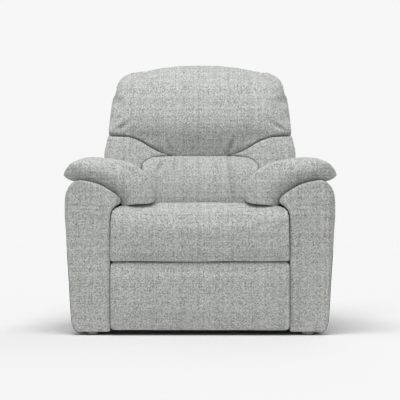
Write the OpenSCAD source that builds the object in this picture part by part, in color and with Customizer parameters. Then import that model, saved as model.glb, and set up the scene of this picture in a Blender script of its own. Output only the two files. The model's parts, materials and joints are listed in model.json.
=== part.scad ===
// Recliner armchair: upholstered arms, reclining back and fold-out footrest.
// Millimetres. The chair stands on z = 0 and faces -Y. Left is the -X side.

/* [Overall] */
// Clear width between the inner faces of the two arms
seat_gap = 644; // [560:2:780]
// Distance from the origin forward to the front of the seat
front_reach = 465; // [400:5:560]
// Height of the crown of the seat
seat_top = 478; // [465:1:500]
// Distance from the front of the seat to the front of the back cushions
seat_depth = 525; // [500:5:640]
// Gap between the floor and the covers
floor_gap = 18; // [15:1:24]

/* [Arms] */
// Width of one arm body
arm_w = 164; // [140:2:200]
// Length of one arm body
arm_l = 720; // [660:5:740]
// Height of the arm body at its outer edge
arm_h = 557; // [540:1:580]
// How far the arm fronts stand behind the front of the seat
arm_setback = 22; // [15:1:30]
// Width of the arm's nose that leans in over the shoulder of the seat
arm_nose = 36; // [30:1:42]
// Thickness of foam and cover on the arm's sides
arm_skin = 14; // [10:1:18]
// Radius of the arm's upright corners
arm_corner = 38; // [20:1:45]
// Height of the crown of the arm pad above the arm body
pad_rise = 83; // [60:1:90]
// Length of one arm pad
pad_l = 575; // [540:5:590]
// Width of the arm pad's inner bulge, measured in from the arm's inner face
pad_bulge = 164; // [120:2:180]
// Thickness of the plywood side panels
panel_t = 15; // [12:1:18]

/* [Seat] */
// Thickness of the seat cushion above the springs
cushion_t = 124; // [110:1:135]
// Height of the lower edge of the seat's front drop
drop_z = 266; // [262:1:275]
// Thickness of the seat's front drop
drop_t = 64; // [45:1:66]
// Height of the timber seat rails
rail_h = 45; // [30:1:50]
// Thickness of the timber seat rails
rail_t = 33; // [25:1:40]
// Diameter of the spring wire
spring_wire = 3.5; // [3:0.5:5]
// Number of zig-zag seat springs
spring_n = 5; // [3:1:6]

/* [Back] */
// Length of the back from its pivot to the top of the head cushion
back_l = 730; // [680:5:800]
// Width of the back between the arms
back_low_w = 600; // [560:2:620]
// Width of the back above the arms
back_wide_w = 734; // [680:2:780]
// Backward lean of the back when upright
back_rake = 19; // [12:1:22]
// Thickness of the lumbar cushion
lumbar_t = 164; // [120:1:166]
// Thickness of the head cushion
head_t = 128; // [100:1:145]
// Thickness of the timber back posts
post_t = 32; // [25:1:36]
// Depth of the timber back posts
post_d = 40; // [30:1:45]
// Number of webbing straps across the back
strap_n = 5; // [3:1:5]

/* [Footrest] */
// Thickness of the footrest pad over its board
rest_t = 36; // [26:1:46]
// Thickness of the footrest board
board_t = 18; // [12:1:18]
// Length of the swing links
swing_l = 200; // [190:1:204]
// Length of the long links
long_l = 195; // [190:1:200]

/* [Mechanism] */
// Thickness of the steel side plates, links and brackets
plate_t = 5; // [3:0.5:5]
// Radius of the link pins
pin_r = 6; // [4:0.5:7]
// Radius of the back pivot pins
back_pin_r = 8; // [6:0.5:10]
// Running clearance of a pin in its bore
pin_play = 0.05; // [0.02:0.01:0.1]
// Radius of the torque tube that joins the two swing links
tube_r = 12; // [9:1:12]
// Height of the slide rails above the floor
rail_z = 255; // [253:1:258]
// Height of one slide rail
slide_h = 42; // [36:1:44]
// Distance that the seat slides forward as the back reclines
slide_travel = 60; // [40:5:60]

/* [Release handle] */
// Length of the recessed cup
cup_l = 150; // [120:2:180]
// Height of the recessed cup
cup_h = 100; // [80:2:110]
// Depth of the recessed cup
cup_d = 34; // [28:1:40]
// Height of the middle of the cup above the floor
cup_z = 385; // [370:1:400]

/* [Hidden] */
$fn = 48;

// Small gaps: between fixed covers, round screws in their holes, and at sliding faces
gap = 1;
screw_play = 0.4;
slide_play = 0.4;

// Depth positions
front_y = -front_reach;
arm_y0 = front_y + arm_setback;
arm_y1 = arm_y0 + arm_l;
pad_y0 = arm_y0 + 15;
pad_y1 = pad_y0 + pad_l;

// Widths, measured out from the middle of the chair
arm_in = seat_gap / 2;
arm_out = arm_in + arm_w;
panel_x = arm_in + arm_skin;
post_x = panel_x + panel_t;
post_w = arm_w - arm_skin - panel_t - 61;
cover_clear = 5;
seat_x = arm_in - cover_clear;

// Arm body heights
board_z = arm_h - 58;
top_board_t = 16;
arm_floor = floor_gap;

// Mechanism planes, from the arm inward
web_t = 3;
web_x = arm_in - web_t;
flange_x = arm_in - 18;
side_x = arm_in - 27;
control_t = plate_t - 1;
control_x = side_x - 2 - control_t;
long_x = control_x - 2 - plate_t;
swing_x = long_x - 3 - plate_t;
bracket_x = side_x - 3 - plate_t;
rail_x = side_x - rail_t;
block_l = 90;
block_front = front_y + 210;
block_rear = front_y + 580;

// Seat heights
spring_z = seat_top - cushion_t - 9;
rail_bottom = spring_z - rail_h;
cushion_z = spring_z + spring_wire + 3.5;
seat_rail_y0 = front_y + drop_t + 11;
seat_rail_y1 = front_y + seat_depth + 35;

// Footrest, hanging closed
rest_y0 = front_y + 4;
board_y = rest_y0 + rest_t;
board_back = board_y + board_t;
rest_top = drop_z - 4;
rest_x = seat_x - 1;

// Pivots in the side view, as [y, z]. The angles are the links' own when closed.
swing_closed = 285;
long_closed = 117.4;
toe_clear = 15;
swing_pivot = [board_back + toe_clear - swing_l * cos(swing_closed) - long_l * cos(long_closed), 240];
control_pivot = swing_pivot + [-13, -28];
back_pivot = [front_y + seat_depth + 120, 330];
function turned(l, a) = [l * cos(a), l * sin(a)];
knee = swing_pivot + turned(swing_l, swing_closed);
toe = knee + turned(long_l, long_closed);
control_end = knee + turned(-10, long_closed) + turned(18, long_closed + 90);
control_pin_r = pin_r - 1;
head_r = pin_r + 3;

// Back sizes in its own leaning frame, with z measured up from the pivot
back_low_z = 75;
crease_z = 320;
wing_step_z = 280;
back_post_x = bracket_x - post_t;
back_post_y = 5;
back_rear_y = back_post_y + post_d;
back_top = back_l;
frame_top = back_l - 42;
wing_x = back_low_w / 2;
wide_x = back_wide_w / 2;
lumbar_x = wing_x - 75;
tuck_x = lumbar_x * 0.42;

// Release handle
cup_y = front_y + 310;
cup_wall = 3;
cup_rim = 8;
cable_r = 3;
cable_bend = 30;
cable_z = 200;
handle_pin_r = 3;
handle_x = arm_out - 9;
handle_z = cup_z + cup_h / 2 - 10;

// Fasteners
bolt_r = 4;
bolt_head_r = 7;
bolt_head_t = 5;
screw_r = 3;
screw_head_r = 6;
screw_head_t = 3;
rail_bolt_y = [for (i = [0:2]) front_y + 305 + 75 * i];
tube_z = 70;
tube_w = 30;
tube_plate = 80;
tube_y = [front_y + 295, front_y + 660];
panel_screw_y = [for (i = [0:3]) seat_rail_y0 + 50 + i * (seat_rail_y1 - seat_rail_y0 - 100) / 3];
bracket_screw_z = [70, 130, 190];
rest_screw_z = [rest_top - 130, rest_top - 60];

cover_grey = [0.74, 0.75, 0.74];
timber = [0.80, 0.66, 0.46];
steel = [0.16, 0.16, 0.17];
bright = [0.72, 0.73, 0.75];
black_cloth = [0.10, 0.10, 0.10];

// ---- helpers ----

// Mirrors to the -X side when s is -1
module side(s) { mirror([s < 0 ? 1 : 0, 0, 0]) children(); }

// A [y, z] outline made t thick along X, from x
module x_plate(x, t) { translate([x, 0, 0]) rotate([90, 0, 90]) linear_extrude(t) children(); }

// An [x, z] outline made l long along Y, from y
module y_block(y, l) { translate([0, y + l, 0]) rotate([90, 0, 0]) linear_extrude(l) children(); }

// A round bar along X through the point p = [y, z]
module x_bar(p, x0, x1, r) { translate([x0, p[0], p[1]]) rotate([0, 90, 0]) cylinder(h = x1 - x0, r = r); }

// A box from its lowest to its highest corner
module box(lo, hi) { translate(lo) cube(hi - lo); }

// A flat link outline between two points
module link_outline(a, b, ra, rb) {
    hull() {
        translate(a) circle(ra);
        translate(b) circle(rb);
    }
}

// Places children in the leaning frame of the back: y is the rear side, z runs up the back
module in_back() { translate([0, back_pivot[0], back_pivot[1]]) rotate([-back_rake, 0, 0]) children(); }

// ---- arms ----

// The arm's outline from the front. Its top domes down toward the seat.
module arm_section() {
    polygon([[arm_in, arm_floor], [arm_out - 44, arm_floor], [arm_out - 34, arm_floor + 10],
        [arm_out - 26, arm_floor + 38], [arm_out - 20, 135], [arm_out - 17, 200],
        [arm_out - 10, 292], [arm_out - 4, 389], [arm_out, 430], [arm_out, arm_h - 76],
        [arm_out - 4, arm_h - 48], [arm_out - 16, arm_h - 23], [arm_out - 33, arm_h - 5],
        [arm_out - 56, arm_h], [arm_in + 72, arm_h - 6], [arm_in + 38, arm_h - 16],
        [arm_in + 3, arm_h - 36], [arm_in - arm_nose + 14, arm_h - 53],
        [arm_in - arm_nose, arm_h - 68], [arm_in - arm_nose, seat_top - 6],
        [arm_in - 20, seat_top - 11], [arm_in - 7, seat_top - 26],
        [arm_in, seat_top - 46]]);
}

// The arm's outline from above. Its nose stops in front of the back, which stands between the arms.
module arm_plan(r) {
    nose_end = front_y + seat_depth - 15;
    offset(r) offset(-r)
        polygon([[arm_in - arm_nose, arm_y0], [arm_out, arm_y0], [arm_out, arm_y1],
            [arm_in, arm_y1], [arm_in, nose_end], [arm_in - arm_nose, nose_end - 75]]);
}

// The hollow of the arm, which holds its frame
module arm_hollow() {
    intersection() {
        y_block(arm_y0, arm_l) intersection() {
            offset(-arm_skin) arm_section_open();
            translate([panel_x, -50]) square([arm_w, board_z + top_board_t + 50]);
        }
        translate([0, 0, -50]) linear_extrude(arm_h + 50)
            offset(-arm_skin) arm_plan(arm_corner);
    }
}

// The arm's outline carried on below its lower edge, so that the hollow is open there
module arm_section_open() {
    union() {
        arm_section();
        translate([arm_in, -80]) square([arm_w - 44, arm_floor + 81]);
    }
}

module arm_cover(s) {
    color(cover_grey) side(s) difference() {
        intersection() {
            y_block(arm_y0, arm_l) arm_section();
            linear_extrude(arm_h + 1) arm_plan(arm_corner);
        }
        arm_hollow();
        for (y = rail_bolt_y) x_bar([y, rail_z], arm_in - 1, panel_x + 1, bolt_r + screw_play);
        tube_bolt_holes(arm_in - 1, panel_x + 1);
        if (s < 0) {
            cup_block(arm_out - cup_d - 1, arm_out + 5, cup_rim + gap / 2);
            x_bar([cup_y, cable_z], arm_in - 1, panel_x + 1, cable_r + screw_play);
        }
    }
}
module arm_cover_left() { arm_cover(-1); }
module arm_cover_right() { arm_cover(1); }

// Holes for the bolts at the ends of both cross tubes
module tube_bolt_holes(x0, x1) {
    for (y = tube_y, z = [-1, 1])
        x_bar([y, tube_z + z * (tube_plate / 2 - 12)], x0, x1, bolt_r + screw_play);
}

module arm_panel(s) {
    color(timber) side(s) difference() {
        box([panel_x, arm_y0 + arm_skin + 4, arm_floor + 6],
            [panel_x + panel_t, arm_y1 - arm_corner - 2, board_z - gap]);
        for (y = rail_bolt_y)
            x_bar([y, rail_z], panel_x - 1, panel_x + panel_t + 1, bolt_r + screw_play);
        tube_bolt_holes(panel_x - 1, panel_x + panel_t + 1);
        if (s < 0)
            x_bar([cup_y, cable_z], panel_x - 1, panel_x + panel_t + 1, cable_r + screw_play);
    }
}
module arm_panel_left() { arm_panel(-1); }
module arm_panel_right() { arm_panel(1); }

module arm_posts(s) {
    color(timber) side(s) for (y = [arm_y0 + arm_skin + 4, arm_y1 - arm_skin - 49])
        box([post_x, y, arm_floor], [post_x + post_w, y + 45, board_z]);
}
module arm_posts_left() { arm_posts(-1); }
module arm_posts_right() { arm_posts(1); }

module arm_top_board(s) {
    color(timber) side(s) box([post_x, arm_y0 + arm_skin + 4, board_z],
        [post_x + post_w + 12, arm_y1 - arm_skin - 4, board_z + top_board_t]);
}
module arm_top_board_left() { arm_top_board(-1); }
module arm_top_board_right() { arm_top_board(1); }

// The arm pad's outline from the front: a pillow that lies over the arm and drops to the seat
module pad_section() {
    top = arm_h + pad_rise;
    in = arm_in - pad_bulge;
    polygon([[arm_out - 11, arm_h + 12], [arm_out + 4, arm_h + 28], [arm_out - 9, top - 32],
        [arm_out - 36, top - 9], [arm_out - 68, top], [arm_out - 111, top],
        [arm_in + 3, top - 6], [arm_in - 47, top - 12], [in + 80, top - 25],
        [in + 44, top - 47], [in + 18, top - 69], [in + 3, top - 94], [in, top - 114],
        [in + 6, seat_top + 16], [in + 17, seat_top + 4], [arm_in - 80, seat_top - 1],
        [arm_in - arm_nose - gap, seat_top - 7],
        [arm_in - arm_nose - gap, arm_h - 68 + gap], [arm_in - arm_nose + 13, arm_h - 52 + gap],
        [arm_in + 3, arm_h - 36 + gap * 1.5], [arm_in + 38, arm_h - 16 + gap * 1.5],
        [arm_in + 72, arm_h - 6 + gap * 1.5], [arm_out - 56, arm_h + gap * 1.5],
        [arm_out - 33, arm_h + gap * 1.5]]);
}

// The arm pad's outline from above: its inner bulge narrows before the back cushions
module pad_plan() {
    in = arm_in - pad_bulge;
    clear_in = wing_x + 6;
    offset(12) offset(-12)
        polygon([[in, pad_y0 + 60], [in + 20, pad_y0 + 20], [in + 90, pad_y0 + 4],
            [arm_out - 90, pad_y0], [arm_out - 20, pad_y0 + 14], [arm_out + 5, pad_y0 + 60],
            [arm_out + 5, pad_y1 - 60], [arm_out - 20, pad_y1 - 12], [arm_out - 70, pad_y1],
            [clear_in + 30, pad_y1], [clear_in, pad_y1 - 40], [clear_in, pad_y1 - 115],
            [clear_in - 70, pad_y1 - 190], [in + 24, pad_y1 - 260], [in, pad_y1 - 330]]);
}

// The arm pad's outline from the side: both its ends roll down
module pad_profile() {
    top = arm_h + pad_rise;
    polygon([[pad_y0 - 5, 400], [pad_y0 - 5, top - 50], [pad_y0 + 14, top - 18],
        [pad_y0 + 50, top - 2], [pad_y0 + 110, top + 1], [pad_y1 - 190, top + 1],
        [pad_y1 - 90, top - 14], [pad_y1 - 30, top - 42], [pad_y1 + 5, top - 66],
        [pad_y1 + 5, 400]]);
}

module arm_pad(s) {
    color(cover_grey) side(s) intersection() {
        y_block(pad_y0 - 10, pad_l + 20) pad_section();
        linear_extrude(arm_h + pad_rise + 20) pad_plan();
        x_plate(0, arm_out + 20) pad_profile();
    }
}
module arm_pad_left() { arm_pad(-1); }
module arm_pad_right() { arm_pad(1); }

// ---- base ----

module floor_glides() {
    color(black_cloth) for (s = [-1, 1], y = [arm_y0 + arm_skin + 26.5, arm_y1 - arm_skin - 26.5])
        translate([s * (post_x + post_w / 2), y, 0]) cylinder(h = arm_floor, r = 22);
}

// A channel rail, open toward the seat
module base_rail(s) {
    color(steel) side(s) difference() {
        y_block(block_front - block_l / 2 - slide_travel - 10,
            block_rear - block_front + block_l + slide_travel + 20)
            difference() {
                translate([flange_x, rail_z - slide_h / 2]) square([arm_in - flange_x, slide_h]);
                translate([flange_x - 1, rail_z - slide_h / 2 + web_t])
                    square([web_x - flange_x + 1, slide_h - 2 * web_t]);
            }
        for (y = rail_bolt_y) x_bar([y, rail_z], web_x - 1, arm_in + 1, bolt_r + screw_play);
    }
}
module base_rail_left() { base_rail(-1); }
module base_rail_right() { base_rail(1); }

// A square tube between the arms, with a bolted plate at each end
module cross_tube(y) {
    end_t = 4;
    color(steel) union() {
        difference() {
            box([-arm_in + end_t, y - tube_w / 2, tube_z - tube_w / 2],
                [arm_in - end_t, y + tube_w / 2, tube_z + tube_w / 2]);
            box([-arm_in + end_t + 1, y - tube_w / 2 + 2, tube_z - tube_w / 2 + 2],
                [arm_in - end_t - 1, y + tube_w / 2 - 2, tube_z + tube_w / 2 - 2]);
        }
        for (s = [-1, 1]) side(s) difference() {
            box([arm_in - end_t, y - 25, tube_z - tube_plate / 2],
                [arm_in, y + 25, tube_z + tube_plate / 2]);
            for (z = [-1, 1])
                x_bar([y, tube_z + z * (tube_plate / 2 - 12)], arm_in - end_t - 1, arm_in + 1,
                    bolt_r + screw_play);
        }
    }
}
module front_cross_tube() { cross_tube(tube_y[0]); }
module rear_cross_tube() { cross_tube(tube_y[1]); }

// A bolt along X from its head, with a nut at the panel's far face
module base_bolt(p, head_x) {
    nut_x = panel_x + panel_t;
    x_bar(p, head_x, nut_x + 8, bolt_r);
    x_bar(p, head_x - bolt_head_t, head_x, bolt_head_r);
    difference() {
        x_bar(p, nut_x, nut_x + 6, bolt_head_r);
        x_bar(p, nut_x - 1, nut_x + 7, bolt_r - 0.5);
    }
}
module base_bolts() {
    color(bright) for (s = [-1, 1]) side(s) {
        for (y = rail_bolt_y) base_bolt([y, rail_z], web_x);
        for (y = tube_y, z = [-1, 1])
            base_bolt([y, tube_z + z * (tube_plate / 2 - 12)], arm_in - 4);
    }
}

// The panel across the back of the base. A deep seat's side plates pass through slots in it.
module rear_panel() {
    slot_clear = 3;
    color(cover_grey) difference() {
        y_block(arm_y1 - 30, 12)
            offset(8) offset(-8) translate([-arm_in, arm_floor + 20])
                square([seat_gap, back_pivot[1] - arm_floor - 50]);
        for (s = [-1, 1]) side(s)
            box([bracket_x - slot_clear, 0, rail_z - 18 - slot_clear],
                [side_x + plate_t + slot_clear, back_pivot[0] + 30 + slot_clear, spring_z]);
    }
}

// ---- release handle ----

// The cup's outer block from x0 to x1, grown sideways by g
module cup_block(x0, x1, g) {
    box([x0, cup_y - cup_l / 2 - g, cup_z - cup_h / 2 - g],
        [x1, cup_y + cup_l / 2 + g, cup_z + cup_h / 2 + g]);
}

module release_cup() {
    color(black_cloth) side(-1) difference() {
        union() {
            cup_block(arm_out - cup_d, arm_out, 0);
            cup_block(arm_out - 7, arm_out + 2, cup_rim);
        }
        cup_block(arm_out - cup_d + cup_wall, arm_out + 5, -cup_wall);
        translate([handle_x, cup_y - cup_l / 2 - 20, handle_z]) rotate([-90, 0, 0])
            cylinder(h = cup_l + 40, r = handle_pin_r + pin_play);
        x_bar([cup_y, cup_z], arm_out - cup_d - 1, arm_out - cup_d + cup_wall + 1,
            cable_r + screw_play);
    }
}

module release_pin() {
    color(bright) side(-1) translate([handle_x, cup_y - cup_l / 2, handle_z])
        rotate([-90, 0, 0]) cylinder(h = cup_l, r = handle_pin_r);
}

// A paddle that hangs from the pin in the mouth of the cup
module release_handle() {
    half = cup_l / 2 - cup_wall - 4;
    color(black_cloth) side(-1) difference() {
        union() {
            translate([handle_x, cup_y - half, handle_z]) rotate([-90, 0, 0])
                cylinder(h = 2 * half, r = handle_pin_r + 3);
            box([handle_x, cup_y - half, handle_z - cup_h * 0.58],
                [handle_x + 5, cup_y + half, handle_z]);
            box([handle_x - 5, cup_y - half, handle_z - cup_h * 0.58],
                [handle_x + 1, cup_y + half, handle_z - cup_h * 0.58 + 5]);
        }
        translate([handle_x, cup_y - half - 1, handle_z]) rotate([-90, 0, 0])
            cylinder(h = 2 * half + 2, r = handle_pin_r + pin_play);
    }
}

// The sheathed cable, bent down inside the arm and in through its panel
module release_cable() {
    x_start = arm_out - cup_d - 6;
    x_down = x_start - 20 - cable_bend;
    color(black_cloth) side(-1) {
        x_bar([cup_y, cup_z], x_down + cable_bend, arm_out - cup_d + cup_wall, cable_r);
        translate([x_down + cable_bend, cup_y, cup_z - cable_bend]) rotate([90, 0, 0])
            rotate([0, 0, 90]) rotate_extrude(angle = 90) translate([cable_bend, 0])
                circle(cable_r);
        translate([x_down, cup_y, cable_z + cable_bend])
            cylinder(h = cup_z - cable_z - 2 * cable_bend, r = cable_r);
        translate([x_down - cable_bend, cup_y, cable_z + cable_bend]) rotate([90, 0, 0])
            rotate([0, 0, -90]) rotate_extrude(angle = 90) translate([cable_bend, 0])
                circle(cable_r);
        x_bar([cup_y, cable_z], arm_in - 6, x_down - cable_bend, cable_r);
    }
}

// ---- seat ----

// The mechanism's side plate, with lobes at the swing link and back pivots
module side_plate(s) {
    color(steel) side(s) difference() {
        x_plate(side_x, plate_t) union() {
            translate([seat_rail_y0 - 6, rail_z - 18])
                square([back_pivot[0] - seat_rail_y0 - 10, spring_z - rail_z + 18]);
            link_outline(swing_pivot, control_pivot, 18, 15);
            link_outline(swing_pivot, swing_pivot + [60, 40], 18, 30);
            link_outline(back_pivot, back_pivot + [-70, -40], 30, 34);
        }
        x_bar(swing_pivot, side_x - 1, side_x + plate_t + 1, pin_r + pin_play);
        x_bar(control_pivot, side_x - 1, side_x + plate_t + 1, pin_r);
        x_bar(back_pivot, side_x - 1, side_x + plate_t + 1, back_pin_r);
        for (y = panel_screw_y)
            x_bar([y, rail_bottom + rail_h / 2], side_x - 1, side_x + plate_t + 1,
                screw_r + screw_play);
    }
}
module side_plate_left() { side_plate(-1); }
module side_plate_right() { side_plate(1); }

// Pins fixed in the side plates: the control link's and the back's
module side_plate_pins() {
    color(bright) for (s = [-1, 1]) side(s) {
        x_bar(control_pivot, control_x - 1, side_x + plate_t, pin_r);
        x_bar(back_pivot, bracket_x - 1, side_x + plate_t, back_pin_r);
    }
}

module slide_blocks() {
    color(black_cloth) for (s = [-1, 1], y = [block_front, block_rear]) side(s)
        box([side_x + plate_t, y - block_l / 2, rail_z - slide_h / 2 + web_t + slide_play],
            [web_x - slide_play, y + block_l / 2, rail_z + slide_h / 2 - web_t - slide_play]);
}

module seat_rail_side(s) {
    color(timber) side(s) difference() {
        box([rail_x, seat_rail_y0, rail_bottom], [side_x, seat_rail_y1, spring_z]);
        for (y = panel_screw_y)
            x_bar([y, rail_bottom + rail_h / 2], side_x - 22, side_x + 1, screw_r + screw_play);
    }
}
module seat_rail_left() { seat_rail_side(-1); }
module seat_rail_right() { seat_rail_side(1); }

module seat_rail_cross(y) {
    color(timber) box([-rail_x, y, rail_bottom], [rail_x, y + rail_t, spring_z]);
}
module seat_rail_front() { seat_rail_cross(seat_rail_y0); }
module seat_rail_rear() { seat_rail_cross(seat_rail_y1 - rail_t); }

// One zig-zag spring: straight bars joined by half rings
module zigzag() {
    half = 24;
    pitch = 24;
    wire = spring_wire;
    y0 = seat_rail_y0 + 12;
    n = 2 * floor((seat_rail_y1 - seat_rail_y0 - 36) / pitch / 2);
    linear_extrude(wire) union() {
        for (i = [0:n])
            translate([-half, y0 + i * pitch - wire / 2]) square([2 * half, wire]);
        for (i = [0:n - 1])
            translate([i % 2 == 0 ? half : -half, y0 + (i + 0.5) * pitch])
                intersection() {
                    difference() {
                        circle(pitch / 2 + wire / 2);
                        circle(pitch / 2 - wire / 2);
                    }
                    translate([i % 2 == 0 ? 0 : -pitch, -pitch]) square([pitch, 2 * pitch]);
                }
    }
}

module seat_springs() {
    step = (2 * rail_x - 60) / spring_n;
    color(bright) for (i = [0:spring_n - 1])
        translate([(i - (spring_n - 1) / 2) * step, 0, spring_z]) zigzag();
}

module seat_cushion() {
    back_y = front_y + seat_depth - 12;
    under_y = back_pivot[0] - 60;
    under_z = back_pivot[1] + 82;
    shoulder = seat_top - 53;
    color(cover_grey) intersection() {
        x_plate(-seat_x, 2 * seat_x)
            polygon([[front_y + drop_t, drop_z], [front_y + drop_t, cushion_z], [under_y, cushion_z],
                [under_y, under_z], [back_y, under_z + 8], [back_y, seat_top - 10],
                [front_y + 260, seat_top], [front_y + 110, seat_top - 2],
                [front_y + 55, seat_top - 9], [front_y + 22, seat_top - 26],
                [front_y + 5, seat_top - 58], [front_y, seat_top - 100],
                [front_y + 2, drop_z + 20], [front_y + 14, drop_z]]);
        y_block(front_y - 1, seat_depth + 2)
            polygon([[-seat_x, drop_z - 1], [seat_x, drop_z - 1], [seat_x, shoulder],
                [seat_x - 5, seat_top - 36], [seat_x - 17, seat_top - 19],
                [seat_x - 31, seat_top - 12], [seat_x - 75, seat_top - 5], [0, seat_top],
                [75 - seat_x, seat_top - 5], [31 - seat_x, seat_top - 12],
                [17 - seat_x, seat_top - 19], [5 - seat_x, seat_top - 36],
                [-seat_x, shoulder]]);
    }
}

module seat_dust_cover() {
    color(black_cloth) box([-side_x + 3, seat_rail_y0, rail_bottom - 1.5],
        [side_x - 3, seat_rail_y1, rail_bottom]);
}

module seat_bolts() {
    p_z = rail_bottom + rail_h / 2;
    color(bright) for (s = [-1, 1], y = panel_screw_y) side(s) {
        x_bar([y, p_z], side_x - 20, side_x + plate_t, screw_r);
        x_bar([y, p_z], side_x + plate_t, side_x + plate_t + screw_head_t, screw_head_r);
    }
}

// ---- footrest linkage ----

module torque_tube() {
    color(steel) difference() {
        x_bar(swing_pivot, -swing_x, swing_x, tube_r);
        x_bar(swing_pivot, -swing_x - 1, swing_x + 1, tube_r - 2);
    }
}

module swing_link(s) {
    color(steel) side(s) x_plate(swing_x, plate_t) link_outline(swing_pivot, knee, 16, 14);
}
module swing_link_left() { swing_link(-1); }
module swing_link_right() { swing_link(1); }

// Pins fixed in the swing links, with heads that keep the side plates and long links on
module swing_pins() {
    head_t = 1.5;
    color(bright) for (s = [-1, 1]) side(s) {
        x_bar(swing_pivot, swing_x + plate_t, side_x + plate_t + 0.5, pin_r);
        x_bar(swing_pivot, side_x + plate_t + 0.5, side_x + plate_t + 0.5 + head_t, head_r);
        x_bar(knee, swing_x + plate_t, long_x + plate_t + 0.3, pin_r);
        x_bar(knee, long_x + plate_t + 0.3, long_x + plate_t + 0.3 + head_t, head_r);
    }
}

module long_link(s) {
    color(steel) side(s) difference() {
        x_plate(long_x, plate_t) union() {
            link_outline(knee, toe, 13, 12);
            link_outline(knee, control_end, 13, 12);
        }
        x_bar(knee, long_x - 1, long_x + plate_t + 1, pin_r + pin_play);
        x_bar(toe, long_x - 1, long_x + plate_t + 1, pin_r + pin_play);
        x_bar(control_end, long_x - 1, long_x + plate_t + 1, control_pin_r + 2);
    }
}
module long_link_left() { long_link(-1); }
module long_link_right() { long_link(1); }

// The control link carries its own lower pin, which stands in a wider hole of the long link
module control_link(s) {
    color(steel) side(s) difference() {
        union() {
            x_plate(control_x, control_t) link_outline(control_pivot, control_end, 11, 11);
            x_bar(control_end, long_x, control_x, control_pin_r);
        }
        x_bar(control_pivot, control_x - 1, control_x + control_t + 1, pin_r + pin_play);
    }
}
module control_link_left() { control_link(-1); }
module control_link_right() { control_link(1); }

module footrest_board() {
    color(timber) difference() {
        y_block(board_y, board_t) translate([-rest_x + 16, floor_gap + 14])
            square([2 * rest_x - 32, rest_top - floor_gap - 28]);
        for (s = [-1, 1], z = rest_screw_z) side(s)
            translate([swing_x - 17, board_y + 4, z]) rotate([-90, 0, 0])
                cylinder(h = board_t, r = screw_r + screw_play);
    }
}

module footrest_pad() {
    color(cover_grey) difference() {
        intersection() {
            y_block(rest_y0, rest_t + board_t - 1) offset(14) offset(-14)
                translate([-rest_x, floor_gap]) square([2 * rest_x, rest_top - floor_gap]);
            x_plate(-rest_x, 2 * rest_x)
                polygon([[rest_y0 + 12, floor_gap], [board_back, floor_gap],
                    [board_back, rest_top], [rest_y0 + 16, rest_top],
                    [rest_y0 + 3, rest_top - 18], [rest_y0, rest_top - 70],
                    [rest_y0, floor_gap + 60], [rest_y0 + 3, floor_gap + 14]]);
        }
        box([-rest_x + 15.5, board_y - 0.3, floor_gap + 13.5],
            [rest_x - 15.5, board_back + 5, rest_top - 13.5]);
    }
}

// An angle bracket: its flange is screwed to the board and its web carries the toe pin
module footrest_bracket(s) {
    low = rest_screw_z[0] - 15;
    high = rest_screw_z[1] + 15;
    color(steel) side(s) union() {
        x_plate(swing_x, plate_t) hull() {
            translate([board_back, low]) square([8, high - low]);
            translate(toe) circle(12);
        }
        difference() {
            box([swing_x - 32, board_back, low], [swing_x + 1, board_back + 3, high]);
            for (z = rest_screw_z)
                translate([swing_x - 17, board_back - 1, z]) rotate([-90, 0, 0])
                    cylinder(h = 5, r = screw_r + screw_play);
        }
        x_bar(toe, swing_x + 1, long_x + plate_t + 1, pin_r);
    }
}
module footrest_bracket_left() { footrest_bracket(-1); }
module footrest_bracket_right() { footrest_bracket(1); }

module footrest_bolts() {
    color(bright) for (s = [-1, 1], z = rest_screw_z) side(s)
        translate([swing_x - 17, 0, z]) rotate([-90, 0, 0]) {
            translate([0, 0, board_back - 12]) cylinder(h = 15, r = screw_r);
            translate([0, 0, board_back + 3]) cylinder(h = screw_head_t, r = screw_head_r);
        }
}

// ---- back ----

module back_bracket(s) {
    color(steel) side(s) in_back() difference() {
        x_plate(bracket_x, plate_t) union() {
            link_outline([0, 0], [back_post_y + post_d / 2, 60], 26, 17);
            link_outline([back_post_y + post_d / 2, 60], [back_post_y + post_d / 2, 215], 17, 15);
        }
        x_bar([0, 0], bracket_x - 1, bracket_x + plate_t + 1, back_pin_r + pin_play);
        for (z = bracket_screw_z)
            x_bar([back_post_y + post_d / 2, z], bracket_x - 1, bracket_x + plate_t + 1,
                screw_r + screw_play);
    }
}
module back_bracket_left() { back_bracket(-1); }
module back_bracket_right() { back_bracket(1); }

module back_post(s) {
    color(timber) side(s) in_back() difference() {
        box([back_post_x, back_post_y, 30], [bracket_x, back_rear_y, frame_top]);
        for (z = bracket_screw_z)
            x_bar([back_post_y + post_d / 2, z], bracket_x - 22, bracket_x + 1,
                screw_r + screw_play);
    }
}
module back_post_left() { back_post(-1); }
module back_post_right() { back_post(1); }

module back_rail(z) {
    color(timber) in_back() box([-back_post_x, back_post_y, z], [back_post_x, back_rear_y, z + 50]);
}
module back_top_rail() { back_rail(frame_top - 50); }
module back_low_rail() { back_rail(60); }

module back_webbing() {
    first = 140;
    step = (frame_top - 110 - first) / (strap_n - 1);
    color(black_cloth) in_back() for (i = [0:strap_n - 1])
        box([-bracket_x + 6, back_post_y - 1.5, first + i * step],
            [bracket_x - 6, back_post_y, first + i * step + 50]);
}

module back_bolts() {
    color(bright) for (s = [-1, 1]) side(s) in_back() for (z = bracket_screw_z) {
        p = [back_post_y + post_d / 2, z];
        x_bar(p, bracket_x - 20, bracket_x + plate_t, screw_r);
        x_bar(p, bracket_x + plate_t, bracket_x + plate_t + 2, screw_head_r);
    }
}

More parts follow.
